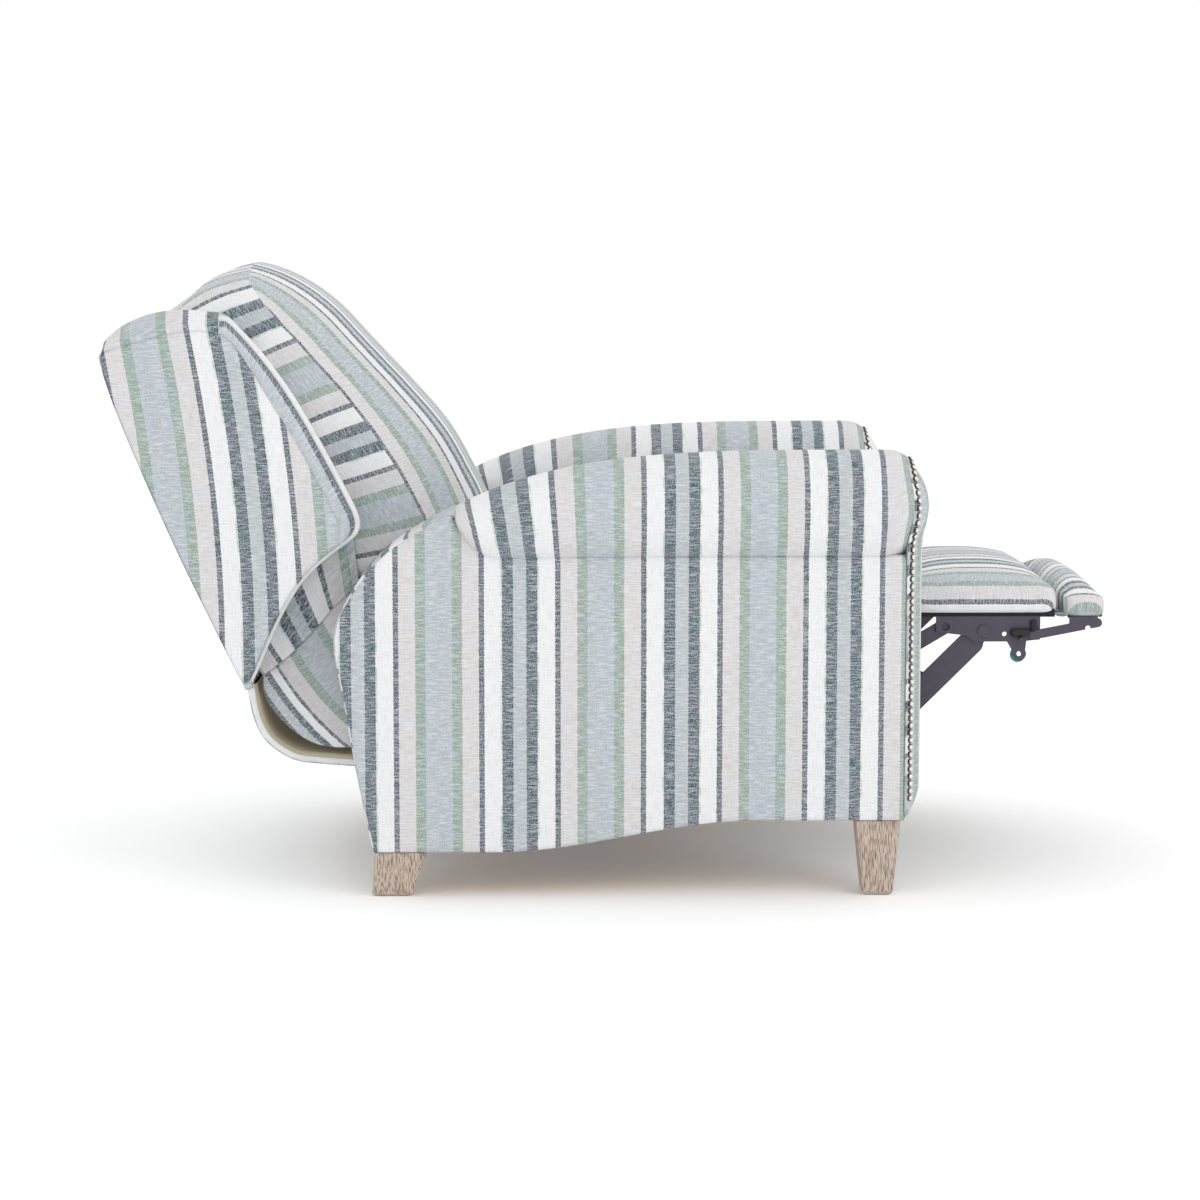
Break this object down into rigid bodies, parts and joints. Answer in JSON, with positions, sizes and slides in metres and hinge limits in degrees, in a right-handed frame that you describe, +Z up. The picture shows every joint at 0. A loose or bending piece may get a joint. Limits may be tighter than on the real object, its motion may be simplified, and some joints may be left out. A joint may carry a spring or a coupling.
{
  "type": "recliner",
  "caption": "Push-back wing recliner with rolled arms, tapered legs, striped cloth and nail trim, with a linkage-driven padded footrest and folding front pad",
  "frame": {"origin": "On the floor, under the middle of the chair's overall width and length in the stored pose", "axes": "+Z up; the sitter faces -Y; +X is the sitter's left; X = 0 is the plane of symmetry"},
  "size_m": [0.8214, 1.4605, 0.8768],
  "materials": {
    "upholstery": "slubby linen weave with stripes of navy, pale blue, sage, rose beige and white",
    "lining": "plain dark base cloth",
    "frame_wood": "sawn, unfinished",
    "leg_wood": "washed brown stain, satin",
    "mechanism_steel": "dark grey baked paint, semi-matt",
    "pin_steel": "zinc plated",
    "nail_metal": "antique pewter",
    "bumper_rubber": "matt black"
  },
  "bodies": {
    "base": {"arm_frame_left": "frame_wood", "arm_frame_right": "frame_wood", "arm_outer_panel_left": "upholstery", "arm_outer_panel_right": "upholstery", "arm_inner_panel_left": "upholstery", "arm_inner_panel_right": "upholstery", "arm_band_left": "upholstery", "arm_band_right": "upholstery", "arm_roll_left": "upholstery", "arm_roll_right": "upholstery", "arm_front_left": "upholstery", "arm_front_right": "upholstery", "nail_trim_left": "nail_metal", "nail_trim_right": "nail_metal", "front_leg_left": "leg_wood", "front_leg_right": "leg_wood", "rear_leg_left": "leg_wood", "rear_leg_right": "leg_wood", "leg_bolts": "pin_steel", "front_cross_rail": "frame_wood", "rear_cross_rail": "frame_wood", "base_side_plate_left": "mechanism_steel", "base_side_plate_right": "mechanism_steel"},
    "seat": {"seat_side_plate_left": "mechanism_steel", "seat_side_plate_right": "mechanism_steel", "seat_pins": "pin_steel", "seat_bolts": "pin_steel", "seat_side_rail_left": "frame_wood", "seat_side_rail_right": "frame_wood", "seat_front_rail": "frame_wood", "seat_rear_rail": "frame_wood", "seat_springs": "pin_steel", "seat_deck": "lining", "seat_cushion": "upholstery"},
    "back": {"back_post_left": "frame_wood", "back_post_right": "frame_wood", "back_top_rail": "frame_wood", "back_bottom_rail": "frame_wood", "back_webbing": "lining", "back_brackets": "mechanism_steel", "back_side_panels": "upholstery", "outside_back": "upholstery", "wing_left": "upholstery", "wing_right": "upholstery", "back_top_panel": "upholstery", "inside_back_cushion": "upholstery"},
    "drive_links": {"drive_link_left": "mechanism_steel", "drive_link_right": "mechanism_steel", "torque_tube": "mechanism_steel"},
    "long_links": {"long_link_left": "mechanism_steel", "long_link_right": "mechanism_steel"},
    "control_bars": {"control_links": "mechanism_steel"},
    "guide_bars": {"guide_links": "mechanism_steel"},
    "ottoman": {"ottoman_brackets": "mechanism_steel", "footrest_bumpers": "bumper_rubber", "ottoman_board": "frame_wood", "ottoman_pad": "upholstery"},
    "flipper": {"flipper_arms": "mechanism_steel", "flipper_board": "frame_wood", "flipper_pad": "upholstery"}
  },
  "joints": [
    {"name": "seat_glide", "type": "slide", "parent": "base", "child": "seat", "axis": [0, -1, 0], "range_m": [-0.015, 0.0255]},
    {"name": "back_recline", "type": "hinge", "parent": "seat", "child": "back", "pos_m": [0, 0.29831, 0.34], "axis": [-1, 0, 0], "range_deg": [-14, 24]},
    {"name": "footrest_open", "type": "hinge", "parent": "seat", "child": "drive_links", "pos_m": [0, -0.22169, 0.365], "axis": [-1, 0, 0], "range_deg": [-58.8, 0]},
    {"name": "knee_fold", "type": "hinge", "parent": "drive_links", "child": "long_links", "pos_m": [0, -0.39259, 0.2049], "axis": [-1, 0, 0], "range_deg": [0, 41.96]},
    {"name": "control_swing", "type": "hinge", "parent": "seat", "child": "control_bars", "pos_m": [0, -0.31809, 0.35], "axis": [-1, 0, 0], "range_deg": [-82.79, 0]},
    {"name": "guide_fold", "type": "hinge", "parent": "drive_links", "child": "guide_bars", "pos_m": [0, -0.32509, 0.26814], "axis": [-1, 0, 0], "range_deg": [0, 49.11]},
    {"name": "ottoman_turn", "type": "hinge", "parent": "long_links", "child": "ottoman", "pos_m": [0, -0.55169, 0.364], "axis": [-1, 0, 0], "range_deg": [-73.16, 0]},
    {"name": "flipper_fold", "type": "hinge", "parent": "ottoman", "child": "flipper", "pos_m": [0, -0.62369, 0.358], "axis": [-1, 0, 0], "range_deg": [-99.98, 0]}
  ],
  "couplings": [
    {"joint": "seat_glide", "follows": "back_recline", "m_per_rad": 0.06},
    {"joint": "knee_fold", "follows": "footrest_open", "ratio": -0.71327},
    {"joint": "control_swing", "follows": "footrest_open", "ratio": 1.4076},
    {"joint": "guide_fold", "follows": "footrest_open", "ratio": -0.83492},
    {"joint": "ottoman_turn", "follows": "footrest_open", "ratio": 1.2439},
    {"joint": "flipper_fold", "follows": "footrest_open", "ratio": 1.7}
  ]
}
